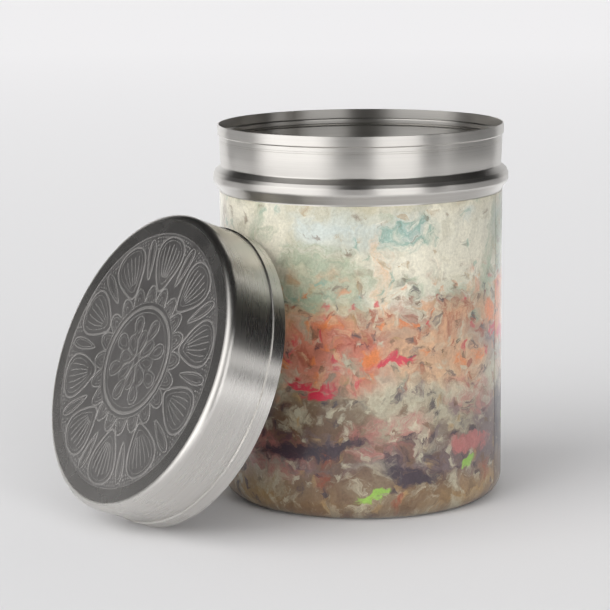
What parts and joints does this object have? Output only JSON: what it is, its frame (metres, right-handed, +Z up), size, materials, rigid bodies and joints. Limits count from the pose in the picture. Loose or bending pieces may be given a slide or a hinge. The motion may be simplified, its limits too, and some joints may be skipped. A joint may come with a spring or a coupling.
{
  "type": "round steel canister",
  "caption": "Round steel canister with a printed film round its wall, a bead under its neck and a slip lid leant against its side.",
  "frame": {"origin": "on the canister's axis, at the middle of its flat base", "axes": "+Z up along the canister's axis; the lid leans on the -X side"},
  "size_m": [0.1625, 0.1079, 0.1323],
  "materials": {
    "body_steel": "satin, turned lines round the neck",
    "lid_steel": "satin, with a finely etched ornament on the face",
    "printed_film": "glossy film with an abstract painted print"
  },
  "bodies": {
    "canister": {"base_pan": "body_steel", "body_wall": "body_steel", "printed_wrap": "printed_film"},
    "lid": {"lid_cap": "lid_steel"}
  },
  "joints": [
    {"name": "lid_lift", "type": "slide", "parent": "canister", "child": "lid", "axis": [-0.9225, 0, 0.3859], "range_m": [0, 0.12]}
  ]
}
